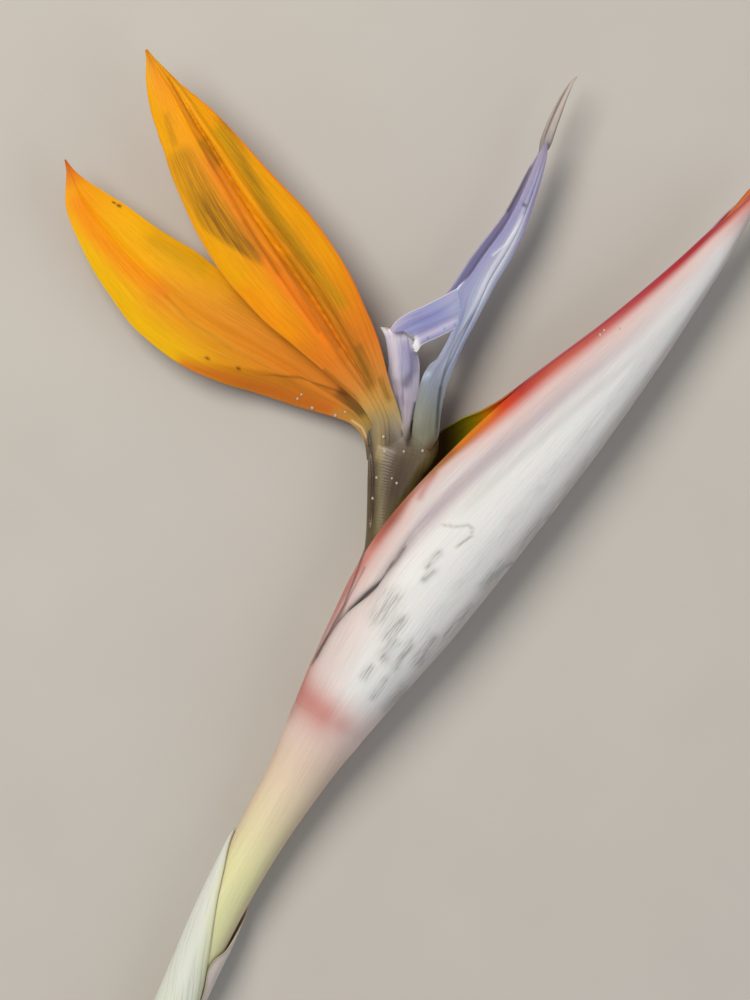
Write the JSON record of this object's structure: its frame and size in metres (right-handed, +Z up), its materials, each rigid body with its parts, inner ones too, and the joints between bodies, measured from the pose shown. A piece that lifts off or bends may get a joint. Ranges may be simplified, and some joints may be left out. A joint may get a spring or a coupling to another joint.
{
  "type": "bird of paradise flower",
  "caption": "Cut bird of paradise flower lying on its side: a beak-shaped spathe on a stalk with a leaf sheath, open orange sepals and blue arrow-shaped petals.",
  "frame": {"origin": "bottom centre of the bounding box, on the surface the flower lies on", "axes": "+Z up out of the surface, +Y along the picture's height from the cut stalk to the sepals, +X to the side the beak points to"},
  "size_m": [0.1778, 0.2856, 0.0228],
  "materials": {
    "stalk": "satin",
    "sheath": "satin",
    "spathe": "satin",
    "flower_base": "satin",
    "sepal": "satin",
    "petal": "satin",
    "style": "satin",
    "stamens": "satin",
    "bud": "satin"
  },
  "bodies": {
    "root": {"stalk": "stalk", "stalk_sheath": "sheath", "spathe": "spathe", "flower_base": "flower_base", "sepal_front": "sepal", "sepal_left": "sepal", "sepal_back": "sepal", "arrow_petal_front": "petal", "arrow_petal_back": "petal", "hood_petal": "petal", "style": "style", "stamens": "stamens", "bud_long": "bud", "bud_short": "bud"}
  },
  "joints": []
}
